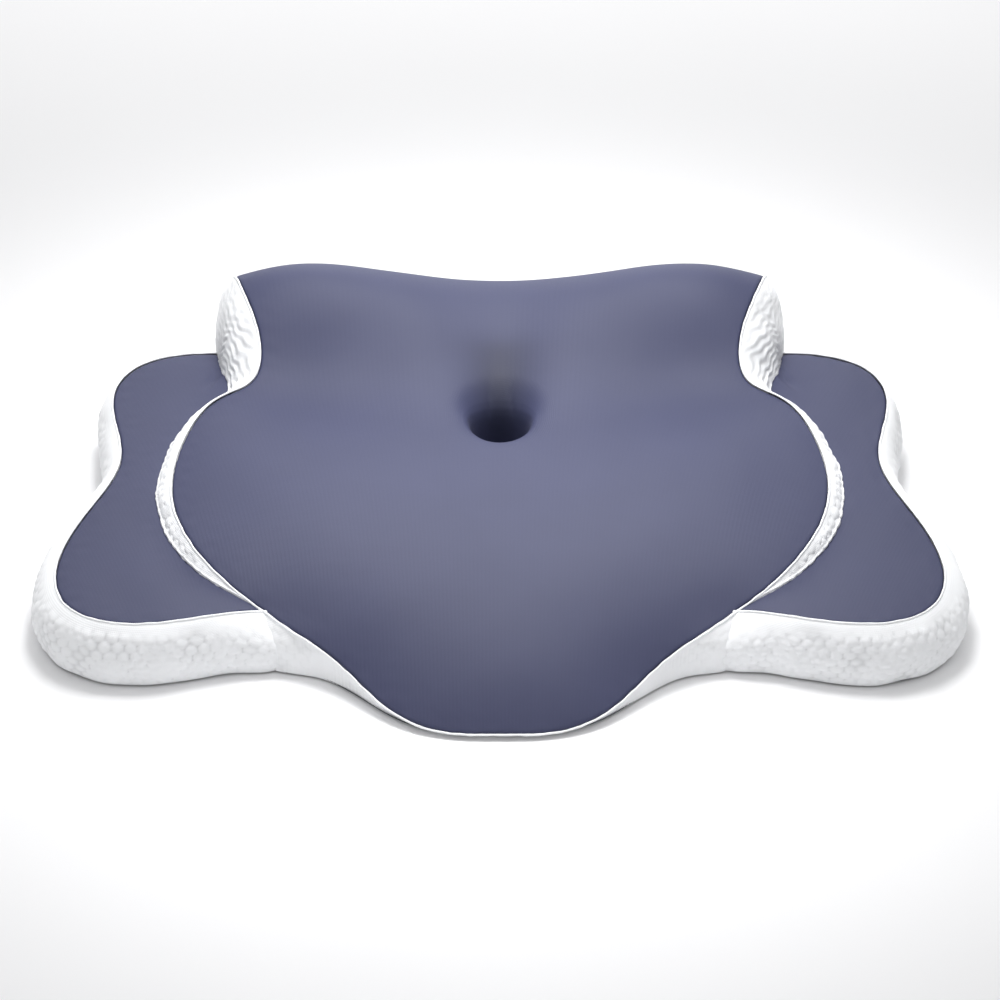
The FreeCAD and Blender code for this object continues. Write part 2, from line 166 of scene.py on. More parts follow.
# cloth radius before it is drawn in, plan radius after, share of the depth
WELL_PROFILE = (
    (0, 0, 1.0), (7, 9, 0.99), (10, 14, 0.97), (12, 17, 0.91), (14, 18.2, 0.78), (18, 19.2, 0.55),
    (22, 20.4, 0.32), (25, 21.6, 0.16), (28, 23.2, 0.06), (31, 26, 0.02), (35, 31.5, 0.003), (40, 40, 0.0),
)

ZIP_Z = 28.0
ZIP_SLOT = 6.0               # from the zip's middle to either hem
ZIP_HALF_LENGTH = 178.0

HEM_STITCH = 2.6             # from a hem at the zip to its stitches
LABEL_X = -120.0
LABEL_WIDTH = 30.0
LABEL_LENGTH = 16.0


# ---- splines and surfaces
def weights(t):
    """Uniform cubic B-spline weights of the four control points round t, for t from 0 to 1."""
    return np.stack([(1 - t) ** 3, 3 * t**3 - 6 * t**2 + 4, -3 * t**3 + 3 * t**2 + 3 * t + 1, t**3], -1) / 6


def on_loop(values, t):
    """Points of a closed curve; t counts control points."""
    k = np.floor(t).astype(int)
    index = (k[:, None] + np.arange(-1, 3)) % len(values)
    return np.einsum("ij,ijk->ik", weights(t - k), values[index])


def on_net(net, row, column):
    """Values of an open net of control heights; row and column count control points."""
    j = np.clip(np.floor(row).astype(int), 1, net.shape[0] - 3)
    i = np.clip(np.floor(column).astype(int), 1, net.shape[1] - 3)
    rows = (j[:, None] + np.arange(-1, 3))[:, :, None]
    columns = (i[:, None] + np.arange(-1, 3))[:, None, :]
    return np.einsum("ij,ik,ijk->i", weights(row - j), weights(column - i), net[rows, columns])


def halved(values):
    """Control values at half the spacing, for the same smooth curve."""
    values = np.array(values, float)
    fine = np.empty(2 * len(values) - 3)
    fine[0::2] = (values[:-1] + values[1:]) / 2
    fine[1::2] = (values[:-2] + 6 * values[1:-1] + values[2:]) / 8
    return fine


def crown_net():
    rows = []
    for y, heights in CROWN:
        fine = halved(heights[:0:-1] + heights)
        groove, width = GROOVE.get(y, (0, 1))
        x = (np.arange(len(fine)) - (len(fine) - 1) / 2) * CROWN_COLUMN
        rows.append(fine - groove * np.exp(-((x / width) ** 2)))
    return np.array(rows)


CENTRE_NET = crown_net()
CENTRE_ROW_Y = np.array([[y] for y, _ in CROWN], float)
WING_NET = np.array([heights for _, heights in WING_CROWN], float)
CENTRE_RIM = np.array(
    CENTRE_HALF + tuple((-x, y, z, -bx, y2) for x, y, z, bx, y2 in CENTRE_HALF[-2:0:-1]), float
)
LEFT_RIM = np.array(WING_RIM, float)

# Along the crown's profile: its row parameter, y, height and length of cloth from the back's lower edge.
# The rows don't form a loop, so the first and last of them are left out, where the curve would wrap round.
PROFILE_ROW = np.linspace(1, len(CROWN) - 2, 3401)
PROFILE_Y = on_loop(CENTRE_ROW_Y, PROFILE_ROW)[:, 0]


def crown_z(x, row):
    return on_net(CENTRE_NET, row, x / CROWN_COLUMN + (CENTRE_NET.shape[1] - 1) / 2)


PROFILE_Z = crown_z(np.full(len(PROFILE_ROW), 100.0), PROFILE_ROW)
PROFILE_LENGTH = np.concatenate([[0.0], np.cumsum(np.hypot(np.diff(PROFILE_Y), np.diff(PROFILE_Z)))])
FRONT = PROFILE_Y < BACK - 0.01          # the part of the profile that y alone can find


def row_at_y(y):
    return np.interp(-y, -PROFILE_Y[FRONT], PROFILE_ROW[FRONT])


def length_at_y(y):
    return np.interp(-y, -PROFILE_Y[FRONT], PROFILE_LENGTH[FRONT])


def smoothed(profile):
    """A profile's values at an even spacing, with its corners rounded off."""
    spacing, passes = 0.25, 14
    profile = np.array(profile, float)
    first = np.arange(profile[0, 0], profile[-1, 0] + spacing, spacing)
    fine = np.column_stack([first] + [np.interp(first, profile[:, 0], column) for column in profile.T[1:]])
    for _ in range(passes):
        fine[1:-1, 1:] = (fine[:-2, 1:] + 2 * fine[1:-1, 1:] + fine[2:, 1:]) / 4
    return fine


WELL_CURVE = smoothed(WELL_PROFILE)


def wing_z(x, y):
    column = (WING_START - x) / WING_COLUMN
    row = (WING_CROWN[0][0] - y) / WING_ROW
    return on_net(WING_NET, row, column)


def bezier(values, t):
    a, b, c, d = values
    return a * (1 - t) ** 3 + 3 * b * t * (1 - t) ** 2 + 3 * c * t * t * (1 - t) + d * t**3


WALL_SHARE = np.linspace(0, 1, 201)
WALL_SHARE_LIFT = bezier(WALL_LIFT, WALL_SHARE)


def wall(rim, s, lift, top):
    """Points of a wall at rim parameter s, at this share of the top's height."""
    at = on_loop(rim, s)
    bulge = bezier(WALL_BULGE, np.interp(lift, WALL_SHARE_LIFT, WALL_SHARE))
    plan = at[:, :2] + (at[:, 3:] - at[:, :2]) * bulge[:, None]
    return np.column_stack([plan, lift * top])


def centre_top(s):
    """Height of the crown over the middle's seam."""
    at = on_loop(CENTRE_RIM, s)
    return np.maximum(crown_z(at[:, 0], row_at_y(at[:, 1])), FLOOR + 1.5)


def wing_top(s):
    at = on_loop(LEFT_RIM, s)
    return wing_z(at[:, 0], at[:, 1])


# ---- plan helpers
def side_name(side):
    return "left" if side < 0 else "right"


def kept_before(points, y):
    """Points, with those behind the plane at y brought forward to it."""
    points = np.array(points, float)
    points[..., 1] = np.minimum(points[..., 1], y)
    return points


def inside(points, outline):
    """Which plan points lie inside a closed outline."""
    result = np.zeros(len(points), bool)
    x0, y0 = outline.T
    x1, y1 = np.roll(outline, -1, axis=0).T
    for start in range(0, len(points), 4000):
        x, y = points[start:start + 4000].T[:, :, None]
        crosses = (y0 > y) != (y1 > y)
        with np.errstate(divide="ignore", invalid="ignore"):
            left_of = x < (x1 - x0) * (y - y0) / (y1 - y0) + x0
        result[start:start + 4000] = (crosses & left_of).sum(1) % 2 == 1
    return result


def resampled(outline, spacing, closed=True):
    """Points of a polyline at an even spacing."""
    loop = np.vstack([outline, outline[:1]]) if closed else outline
    along = np.concatenate([[0.0], np.cumsum(np.linalg.norm(np.diff(loop, axis=0), axis=1))])
    count = max(int(round(along[-1] / spacing)), 3)
    where = np.linspace(0, along[-1], count + 1)
    points = np.column_stack([np.interp(where, along, axis) for axis in loop.T])
    return points[:-1] if closed else points


def signed_area(outline):
    x, y = outline.T
    return 0.5 * np.sum(x * np.roll(y, -1) - np.roll(x, -1) * y)


def moved_in(outline, depth):
    """An outline moved in by depth, without the points that would fold over at a corner."""
    along = np.roll(outline, -1, axis=0) - np.roll(outline, 1, axis=0)
    along /= np.linalg.norm(along, axis=1)[:, None]
    turn = np.sign(signed_area(outline))
    moved = outline + depth * turn * np.column_stack([-along[:, 1], along[:, 0]])
    return moved[distance_to(moved, outline) > 0.93 * depth]


def nearest(points, places):
    """Distance from each plan point to the nearest of some places."""
    tree = KDTree(len(places))
    for i, (x, y) in enumerate(places):
        tree.insert((x, y, 0.0), i)
    tree.balance()
    return np.array([tree.find((x, y, 0.0))[2] for x, y in points])


def distance_to(points, outline):
    """Distance from each plan point to a closed outline."""
    return nearest(points, resampled(outline, 0.4))


def lattice(outline, spacing):
    """Points of a triangular lattice over an outline's box."""
    low, high = outline.min(0), outline.max(0)
    rows = []
    for j, y in enumerate(np.arange(low[1], high[1], spacing * math.sqrt(0.75))):
        x = np.arange(low[0] + (j % 2) * spacing / 2, high[0], spacing)
        rows.append(np.column_stack([x, np.full(len(x), y)]))
    return np.vstack(rows)


def filled(points, loops):
    """Flat points and the triangles between them that lie inside loops, which are lists of indices."""
    only_inside, tolerance = 1, 1e-5
    result = delaunay_2d_cdt([Vector(p) for p in points], [], loops, only_inside, tolerance)
    return np.array([tuple(v) for v in result[0]]), result[2]


def wobble(points, size, seed):
    """Smooth noise, mostly between -1 and 1, with bumps of about this size in millimetres."""
    rng = np.random.default_rng(seed)
    total = np.zeros(len(points))
    for _ in range(7):
        direction = rng.normal(size=points.shape[1])
        direction *= rng.uniform(0.7, 1.4) * 2 * math.pi / (size * np.linalg.norm(direction))
        total += np.sin(points @ direction + rng.uniform(0, 2 * math.pi))
    return total / 3.0


def smooth_step(value, low, high):
    t = np.clip((value - low) / (high - low), 0, 1)
    return t * t * (3 - 2 * t)


def rolled(distance, reach, drop):
    """How far a rolled edge lies below the rest: a quarter round of this reach and drop."""
    t = np.clip(1 - distance / reach, 0, 1)
    return drop * (1 - np.sqrt(1 - t * t))


def edge_dip(distance):
    """How far a cloth's edge lies below its own surface: rolled, with a shallow dip beside it."""
    return rolled(distance, EDGE_ROLL, EDGE_ROLL) + 0.35 * np.exp(-distance / 5.0)


def seam_dip(below_seam, depth=0.12):
    """How far a band is drawn in just below its seam."""
    return depth * np.exp(-below_seam / 1.2)


# ---- meshes
def bridged(points):
    """Points, with those near the inner corners at the foot pulled forward, in front of the foam."""
    points = np.array(points, float)
    x, y = INNER_CORNER
    offset = np.column_stack([np.abs(points[:, 0]) - abs(x), points[:, 1] - y])
    share = np.exp(-(offset**2).sum(1) / (2 * BRIDGE_REACH**2))
    share *= 1 - smooth_step(points[:, 2], *BRIDGE_FADE)
    points[:, 1] -= BRIDGE_PULL * share
    return points


def mirrored(points, faces):
    """A left-hand piece's points and faces, turned into the right-hand one's."""
    return points * [-1, 1, 1], [f[::-1] for f in faces]


def make_piece(name, points, faces, cloth, material, replaced, shade=None):
    """A piece from points in millimetres.

    cloth is each point's place on the flat cloth, for the weave; shade is how much of the material's
    painted shade colour each point takes, from 0 to 1.
    """
    mesh = bpy.data.meshes.new(name)
    mesh.from_pydata((bridged(points) * MM).tolist(), [], [tuple(int(i) for i in f) for f in faces])
    mesh.validate()
    mesh.polygons.foreach_set("use_smooth", np.ones(len(mesh.polygons), bool))
    layer = mesh.uv_layers.new(name="Cloth")
    corner = np.empty(len(mesh.loops), int)
    mesh.loops.foreach_get("vertex_index", corner)
    layer.data.foreach_set("uv", (np.asarray(cloth, float)[corner] * MM).ravel())
    if shade is not None:
        mesh.attributes.new("shade", "FLOAT", "POINT").data.foreach_set("value", shade)
    mesh.materials.append(material)
    piece = bpy.data.objects.new(name, mesh)
    bpy.context.scene.collection.objects.link(piece)
    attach(piece, "pillow")
    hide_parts(*replaced)
    return piece


def triangulated(outline, extra, spacing):
    """Flat points and triangles that fill an outline, finer along its edge and at any extra points."""
    edge = resampled(outline, spacing)
    points = [edge] + [moved_in(edge, depth) for depth in EDGE_RINGS]
    inner = lattice(edge, spacing)
    inner = inner[inside(inner, edge)]
    inner = inner[distance_to(inner, edge) > EDGE_RINGS[-1] + 0.6 * spacing]
    if extra is not None:
        centre, radius = extra.mean(0), np.linalg.norm(extra - extra.mean(0), axis=1).max()
        inner = inner[np.linalg.norm(inner - centre, axis=1) > radius + 0.5 * spacing]
        points.append(extra)
    points.append(inner)
    return filled(np.vstack(points), [list(range(len(edge)))])


def lifted(surface, flat, height):
    """A surface's points at flat places, moved out along its normal. The second flat axis runs forward."""
    step = 0.25
    right = surface(flat + [step, 0]) - surface(flat - [step, 0])
    ahead = surface(flat + [0, step]) - surface(flat - [0, step])
    normal = np.cross(ahead, right)
    normal /= np.linalg.norm(normal, axis=1)[:, None]
    return surface(flat) + normal * height[:, None]


def grid_faces(rows, columns, closed=False, flip=False):
    """Quads between neighbouring rows of points; closed joins each row's ends."""
    j, i = np.meshgrid(np.arange(rows - 1), np.arange(columns if closed else columns - 1), indexing="ij")
    after = (i + 1) % columns
    a, b = j * columns + i, j * columns + after
    c, d = (j + 1) * columns + after, (j + 1) * columns + i
    return np.stack([a, d, c, b] if flip else [a, b, c, d], -1).reshape(-1, 4)


def tube(path, radius, sides):
    """Points and faces of a thin tube along an open path."""
    along = np.gradient(path, axis=0)
    along /= np.linalg.norm(along, axis=1)[:, None]
    side = np.cross(along, [0.0, 0.0, 1.0])
    steep = np.linalg.norm(side, axis=1) < 0.3
    side[steep] = np.cross(along[steep], [0.0, 1.0, 0.0])
    side /= np.linalg.norm(side, axis=1)[:, None]
    up = np.cross(side, along)
    angle = np.linspace(0, 2 * math.pi, sides, endpoint=False)
    ring = np.cos(angle)[None, :, None] * side[:, None] + np.sin(angle)[None, :, None] * up[:, None]
    points = path[:, None] + ring * np.reshape(radius, (-1, 1, 1))
    return points.reshape(-1, 3), grid_faces(len(path), sides, closed=True, flip=True)


def thread(path, radius, sides=8):
    """A tube along a path, with its places on the cloth."""
    points, faces = tube(path, radius, sides)
    return points, faces, points[:, :2]


def welt(path, seed):
    """The turned edge along a seam: a thin cord of folded cloth, not quite even."""
    even = resampled(path, 1.6, closed=False)
    radius = LIP / 2 * (1 + 0.08 * wobble(even, 9, seed + 1))
    return thread(even + 0.12 * wobble(even, 14, seed)[:, None], radius)


def joined(parts):
    """Several (points, faces, cloth) as one."""
    points, faces, cloth, first = [], [], [], 0
    for part_points, part_faces, part_cloth in parts:
        points.append(part_points)
        cloth.append(part_cloth)
        faces += (np.asarray(part_faces) + first).tolist()
        first += len(part_points)
    return np.vstack(points), faces, np.vstack(cloth)


# ---- blue panels
def well_draw(plan):
    """Plan places after the cloth is drawn into the well, and each one's share of the well's depth."""
    offset = plan - [0, WELL_Y]
    reach = np.linalg.norm(offset, axis=1)
    behind = smooth_step(offset[:, 1] / np.maximum(reach, 0.001), -0.2, 1.0)
    before, after, share = WELL_CURVE.T
    drawn = np.where(reach < WELL_REACH, np.interp(reach, before, after), reach)
    depth = np.where(reach < WELL_REACH, np.interp(reach, before, share), 0.0)
    # behind the well the cloth comes down the groove over a softer edge
    slope = np.clip((WELL_REACH - drawn) / (WELL_REACH - WELL_RADIUS), 0, 1)
    depth += (1 - depth) * WELL_SOFTNESS * behind * slope**2
    return [0, WELL_Y] + offset * (drawn / np.maximum(reach, 0.001))[:, None], depth


def centre_surface(flat):
    """The crown over flat cloth places: x, and the length of cloth from the back's lower edge."""
    row = np.interp(flat[:, 1], PROFILE_LENGTH, PROFILE_ROW)
    y = np.interp(flat[:, 1], PROFILE_LENGTH, PROFILE_Y)
    plan, depth = well_draw(np.column_stack([flat[:, 0], y]))
    near = depth > 0
    row[near] = row_at_y(plan[near, 1])
    z = crown_z(plan[:, 0], row)
    return np.column_stack([plan, z + (WELL_BOTTOM - z) * depth])


def back_edge(lift):
    """Rim parameters and points where the left wall meets the back plane, at each share of height."""
    half = len(CENTRE_HALF)
    s = np.full(len(lift), np.interp(BACK, CENTRE_RIM[:half, 1], np.arange(half)))
    steepness = 40.0             # millimetres of y for each control point there, about
    for _ in range(40):
        points = wall(CENTRE_RIM, s, lift, centre_top(s))
        s += (BACK - points[:, 1]) / steepness
    return s, points


def centre_outline():
    """The blue panel's edge on the flat cloth, just inside its seams."""
    corner, edge = back_edge(np.linspace(1, 0.45, 60))
    s = np.linspace(0, corner[0], 700)
    at = on_loop(CENTRE_RIM, s)
    left = np.column_stack([at[:, 0], length_at_y(at[:, 1])])
    net_length = np.interp(edge[:, 2], PROFILE_Z[~FRONT], PROFILE_LENGTH[~FRONT])
    down = np.column_stack([edge[:, 0], np.minimum(net_length, left[-1, 1])])
    down = down[edge[:, 2] > BAND_TOP]
    foot = [down[-1, 0], np.interp(BAND_TOP, PROFILE_Z[~FRONT], PROFILE_LENGTH[~FRONT])]
    half = np.vstack([left, down, foot])
    outline = np.vstack([half, half[::-1][:-1] * [-1, 1]])
    return moved_in(resampled(outline, 1.0), LIP / 2)


def well_rings():
    """Flat places on rings round the well, close where the cloth turns down."""
    angle = np.linspace(0, 2 * math.pi, 72, endpoint=False)
    radii = np.concatenate([
        np.arange(3.0, 10, 2.0), np.arange(10, 31, 0.55), np.arange(31, WELL_REACH + 1, 1.5)
    ])
    rings = [np.column_stack([r * np.cos(angle), WELL_Y + r * np.sin(angle)]) for r in radii]
    plan = np.vstack(rings + [[[0.0, WELL_Y]]])
    return np.column_stack([plan[:, 0], length_at_y(plan[:, 1])])


def well_creases(points):
    """Depth of the two thin creases that run from the bolster's front into the well."""
    x, y = points[:, 0], points[:, 1]
    depth = np.zeros(len(points))
    for start, lean, deep in CREASES:
        line = start + lean * (y - 85) + 0.6 * np.sin(y / 9)
        run = smooth_step(y, WELL_Y + 10, 84) * (1 - smooth_step(y, 88, 108))
        depth += deep * run * np.exp(-(((x - line) / CREASE_WIDTH) ** 2))
    return depth * smooth_step(points[:, 2], 52, 66)


def groove(points):
    """Depth of the soft groove down the bolster's front, over the well."""
    x, y = points[:, 0], points[:, 1]
    depth, width = 1.3, 24
    return depth * np.exp(-((x / width) ** 2)) * smooth_step(y, 84, 100) * (1 - smooth_step(y, 108, 140))


def groove_shade(points):
    """How much painted shade the cloth takes in the groove: only on the bolster's front, and fainter
    upwards.
    """
    x, y, z = points.T
    width = 17 + 0.45 * np.maximum(z - 70, 0)
    front = smooth_step(y, 68, 90) * (1 - smooth_step(y, 118, 138))
    return GROOVE_PAINTED_SHADE * front * np.exp(-((x / width) ** 2)) * (1 - smooth_step(z, 72, 113))


def centre_cloth(material):
    outline = centre_outline()
    flat, faces = triangulated(outline, well_rings(), TOP_SPACING)
    distance = distance_to(flat, outline)
    base = centre_surface(flat)
    puckers = 0.16 * wobble(flat, 13, 3) * np.exp(-distance / 9)
    height = puckers + 0.2 * wobble(flat, 70, 4) - edge_dip(distance) - well_creases(base) - groove(base)
    points = lifted(centre_surface, flat, height)
    # the groove's darker colour is painted shade, standing in for the shadow over the well
    return make_piece(
        "centre_top_cloth", points, [f[::-1] for f in faces], flat, material,
        ["centre_top_panel", "well_lining"], shade=groove_shade(base),
    )


def wing_surface(flat):
    x, y = flat[:, 0], -flat[:, 1]
    return np.column_stack([x, y, wing_z(x, y)])


def back_corner():
    """The middle's rim parameter where its seam reaches the back plane."""
    return back_edge(np.ones(1))[0][0]


def junction():
    """Where the left half of the middle's wall passes through the wing's top: s, lift and plan points."""
    s = np.linspace(0, back_corner(), 900)
    top = centre_top(s)
    lift = np.full(len(s), 0.6)
    for _ in range(8):
        at = wall(CENTRE_RIM, s, lift, top)
        lift = np.clip(wing_z(at[:, 0], at[:, 1]) / top, 0.0, 1.0)
    return s, lift, wall(CENTRE_RIM, s, lift, top)[:, :2]


def left_half(depth):
    """The left half of the middle in plan, as it stands on the wing, moved in by depth."""
    loop = np.vstack([junction()[2], [[0, BACK], [0, -BACK]]])
    return moved_in(resampled(loop, 1.0), depth)


def whole_loop(rim, count):
    """Parameters at even steps all the way round a rim."""
    return np.linspace(0, len(rim), count, endpoint=False)


def wing_plan():
    """The left wing's seam in plan."""
    return resampled(on_loop(LEFT_RIM, whole_loop(LEFT_RIM, 900))[:, :2], 1.0)


def run_of(kept):
    """Indices of the longest unbroken run of a closed loop's kept points, in order."""
    count = len(kept)
    starts = [i for i in range(count) if kept[i] and not kept[i - 1]]
    runs = []
    for start in starts:
        length = 0
        while kept[(start + length) % count] and length < count:
            length += 1
        runs.append([(start + k) % count for k in range(length)])
    return max(runs, key=len)


def wing_outline():
    """The left wing's blue panel in plan: inside its seam, and just under the middle's wall."""
    rim = moved_in(wing_plan(), LIP / 2)
    under = kept_before(left_half(1.6), BACK - 6)
    outer = rim[run_of(~inside(rim, under))]
    inner = under[run_of(inside(under, rim))]
    if np.linalg.norm(inner[0] - outer[-1]) > np.linalg.norm(inner[-1] - outer[-1]):
        inner = inner[::-1]
    return np.vstack([outer, inner])


def wing_cloth(side, material):
    outline = wing_outline() * [1, -1]
    flat, faces = triangulated(outline, None, TOP_SPACING)
    distance = distance_to(flat, outline)
    x, y = flat[:, 0], -flat[:, 1]
    seed = 11 if side < 0 else 17
    # a slanting crease where the wing runs under the bolster's end
    pinch = 2.6 * np.exp(-(((x + 206 - 0.5 * (y - 132)) / 3.2) ** 2) - ((y - 128) / 11) ** 2)
    puckers = 0.2 * wobble(flat, 12, seed) * np.exp(-distance / 8)
    height = puckers + 0.25 * wobble(flat, 60, seed + 1) - edge_dip(distance) - pinch
    points = lifted(wing_surface, flat, height)
    faces = [f[::-1] for f in faces]
    if side > 0:
        points, faces = mirrored(points, faces)
    return make_piece(
        "wing_top_cloth_" + side_name(side), points, faces, flat * [-side, 1], material,
        ["wing_top_panel_" + side_name(side)],
    )


# ---- white bands
def puffs(along, up, seed):
    """Soft puffs in staggered rows, from 0 in the stitched valleys to 1; some stand up more than others."""
    places = np.column_stack([along.ravel(), up.ravel()])
    a = places[:, 0] + 1.6 * wobble(places, 42, seed)
    b = places[:, 1] + 1.2 * wobble(places, 33, seed + 1)
    away = np.full(len(places), np.inf)
    for shift in (0.0, 0.5):
        u = a / PUFF_WIDTH + shift
        v = b / (2 * PUFF_HEIGHT) + shift
        du = (u - np.round(u)) * PUFF_WIDTH
        dv = (v - np.round(v)) * 2 * PUFF_HEIGHT
        away = np.minimum(away, (du / (0.52 * PUFF_WIDTH)) ** 2 + (dv / (0.68 * PUFF_HEIGHT)) ** 2)
    domes = np.sqrt(np.clip(1 - away, 0, 1)) * (0.85 + 0.25 * wobble(places, 24, seed + 2))
    return domes.reshape(along.shape)


def ridges(along, up, seed):
    """Wavy level ridges, from -1 to 1."""
    places = np.column_stack([along.ravel(), up.ravel()])
    a, b = places.T
    phase = b - 0.2 * a + 1.1 * np.sin(2 * math.pi * a / RIDGE_WAVE) + 1.2 * wobble(places, 26, seed)
    broken = 0.7 + 0.3 * wobble(places, 13, seed + 1)
    return (broken * np.cos(2 * math.pi * phase / RIDGE_SPACING)).reshape(along.shape)


def swell(base, size, seed):
    """The same noise over a grid of points."""
    return wobble(base.reshape(-1, 3), size, seed).reshape(base.shape[:2])


def wall_grid(rim, top_of, s, low, rows):
    """A wall's points (rows x columns) from low up to its seam, with outward normals."""
    lift = low + (1 - low) * np.linspace(0, 1, rows)[:, None]
    s = np.broadcast_to(s, lift.shape).ravel()
    base = kept_before(wall(rim, s, lift.ravel(), top_of(s)).reshape(*lift.shape, 3), BACK)
    across = np.gradient(base, axis=1)
    upward = np.gradient(base, axis=0)
    clockwise = signed_area(on_loop(rim, np.arange(len(rim)))[:, :2]) < 0
    normal = np.cross(upward, across) if clockwise else np.cross(across, upward)
    normal /= np.linalg.norm(normal, axis=2)[:, :, None]
    return base, normal


def length_along(path):
    return np.concatenate([[0.0], np.cumsum(np.linalg.norm(np.diff(path, axis=0), axis=1))])


def cloth_along(base):
    """How far along the band's middle row each point of a grid lies."""
    rows = len(base)
    return np.tile(length_along(base[rows // 2]), (rows, 1))


def band_piece(name, side, base, normal, height, welts, material, replaced):
    """A band from its grid, moved out by height, with its welts, on the left or the right."""
    rows, columns, _ = base.shape
    points = (base + normal * height[:, :, None]).reshape(-1, 3)
    facing = np.cross(base[0, 1] - base[0, 0], base[1, 0] - base[0, 0])
    faces = grid_faces(rows, columns, flip=facing @ normal[0, 0] < 0)
    cloth = np.column_stack([cloth_along(base).ravel(), base[:, :, 2].ravel()])
    points, faces, cloth = joined([(points, faces, cloth)] + welts)
    # painted shade in the valleys between puffs: the deeper the valley, the darker
    shade = np.zeros(len(points))
    shade[: rows * columns] = np.clip(-height / FULL_VALLEY, 0, 1).ravel()
    if side > 0:
        points, faces = mirrored(points, faces)
    return make_piece(name, points, faces, cloth, material, replaced, shade=shade)


def even_parameter(rim, start, end, spacing):
    """Rim parameters at an even spacing along the wall's belly."""
    s = np.linspace(start, end, 3000)
    path = on_loop(rim, s)[:, 3:]
    along = length_along(path)
    return np.interp(np.linspace(0, along[-1], int(along[-1] / spacing)), along, s)


def centre_band_grid(s):
    """The middle's side wall, down to the floor or to just under the wing, and which columns meet it."""
    top = centre_top(s)
    meeting_s, meeting_lift, _ = junction()
    wing_lift = np.interp(s, meeting_s, meeting_lift)
    rim = wing_plan()
    foot = wall(CENTRE_RIM, s, wing_lift, top)[:, :2]
    deep = np.where(inside(foot, rim), distance_to(foot, rim), 0.0)
    floor_lift = FOOT / top
    hidden_lift = np.maximum(wing_lift - UNDER_WING / top, floor_lift)
    low = floor_lift + (hidden_lift - floor_lift) * smooth_step(deep, 5, 22)
    # the lower rows end sooner, where the bulging wall meets the back plane
    early = back_edge(np.linspace(low[-1], 1, CENTRE_ROWS))[0] - s[-1]
    s_rows = s + early[:, None] * np.clip((s - s[-1] + 1.5) / 1.5, 0, 1)
    base, normal = wall_grid(CENTRE_RIM, centre_top, s_rows, low, CENTRE_ROWS)
    return base, normal, deep > 0


def centre_band_height(base, top, meets_wing, seed):
    """How far the cloth stands out: ridges by the bolster, puffs round the lobe, fine ribs at the nose."""
    along = cloth_along(base)
    x, y, z = np.moveaxis(base, 2, 0)
    below_seam = top - z
    over_wing = z - wing_z(x.ravel(), y.ravel()).reshape(z.shape)
    bolster = smooth_step(y, 62, 92)
    nose = 1 - smooth_step(y, -150, -100)
    fade = smooth_step(below_seam, 0.5, 6) * smooth_step(BACK - y, 0, 8)
    height = fade * (
        0.7 * bolster * (ridges(along, z, seed) - 0.3)
        + 1.3 * (1 - bolster) * (1 - nose) * (puffs(along, z, seed + 2) - 0.4)
        + 0.14 * nose * np.cos(2 * math.pi * along / 3.2)
        + 0.4 * swell(base, 34, seed + 4)
    )
    # a small roll where the band stands on the wing
    height += 0.75 * np.exp(-(((over_wing - 0.9) / 0.8) ** 2)) * meets_wing
    return height - seam_dip(below_seam)


def centre_band(side, material):
    seed = 31 if side < 0 else 41
    s = even_parameter(CENTRE_RIM, NOSE_END, back_corner(), BAND_SPACING)
    top = centre_top(s)
    base, normal, meets_wing = centre_band_grid(s)
    height = centre_band_height(base, top, meets_wing, seed)
    seam = kept_before(wall(CENTRE_RIM, s, np.ones(len(s)), top), BACK)
    corner = back_edge(np.linspace(0.03, 1, 90))[1]
    return band_piece(
        "centre_side_cloth_" + side_name(side), side, base, normal, height,
        [welt(seam, seed + 6), welt(corner, seed + 8)], material, ["centre_side_band_" + side_name(side)],
    )


def nose_cloth(material):
    """The low band under the nose, from one side band to the other."""
    end = NOSE_END + 0.01
    s = np.linspace(-end, end, 110)
    top = centre_top(s)
    base, normal = wall_grid(CENTRE_RIM, centre_top, s, FOOT / top, 8)
    height = np.zeros(base.shape[:2])
    seam = wall(CENTRE_RIM, s, np.ones(len(s)), top)
    return band_piece("nose_cloth", -1, base, normal, height, [welt(seam, 61)], material, ["nose_band"])


def wing_band_run():
    """Rim parameters along the part of the wing's rim that the middle doesn't cover."""
    loop = whole_loop(LEFT_RIM, 1400)
    run = run_of(~inside(on_loop(LEFT_RIM, loop)[:, :2], left_half(7.0)))
    start, end = loop[run[0]], loop[run[-1]]
    if end < start:
        end += len(LEFT_RIM)
    return even_parameter(LEFT_RIM, start, end, BAND_SPACING)


def wing_band(side, material):
    seed = 71 if side < 0 else 83
    s = wing_band_run()
    top = wing_top(s)
    base, normal = wall_grid(LEFT_RIM, wing_top, s, FOOT / top, WING_ROWS)
    x, y, z = np.moveaxis(base, 2, 0)
    below_seam = top - z
    # the puffs start close under the seam where the lobe is round, and lower down elsewhere
    rounded = smooth_step(-y, 60, 125) * smooth_step(-x, 170, 260)
    puffed = smooth_step(below_seam, 3, 7 + 12 * (1 - rounded)) * smooth_step(z, 1, 6)
    height = 1.6 * puffed * (puffs(cloth_along(base), z, seed) - 0.35)
    height += 0.10 * (1 - puffed) * np.cos(2 * math.pi * z / 2.2) * smooth_step(below_seam, 1.5, 4)
    height += 0.5 * swell(base, 36, seed + 4) * smooth_step(below_seam, 0, 10)
    height -= seam_dip(below_seam)
    seam = wall(LEFT_RIM, s, np.ones(len(s)), top)
    return band_piece(
        "wing_side_cloth_" + side_name(side), side, base, normal, height, [welt(seam, seed + 6)], material,
        ["wing_side_band_" + side_name(side)],
    )


def stitch_row(z):
    """Lockstitches along the zip: short rounded threads with small gaps."""
    pitch, length, radius, sides = 3.2, 2.3, 0.26, 6
    arch = BACK - 0.45 + 0.35 * np.sin(np.linspace(0, math.pi, 7))
    level = np.full(len(arch), z)
    return joined([
        thread(np.column_stack([np.linspace(x, x + length, len(arch)), arch, level]), radius, sides)
        for x in np.arange(-ZIP_HALF_LENGTH, ZIP_HALF_LENGTH, pitch)
    ])


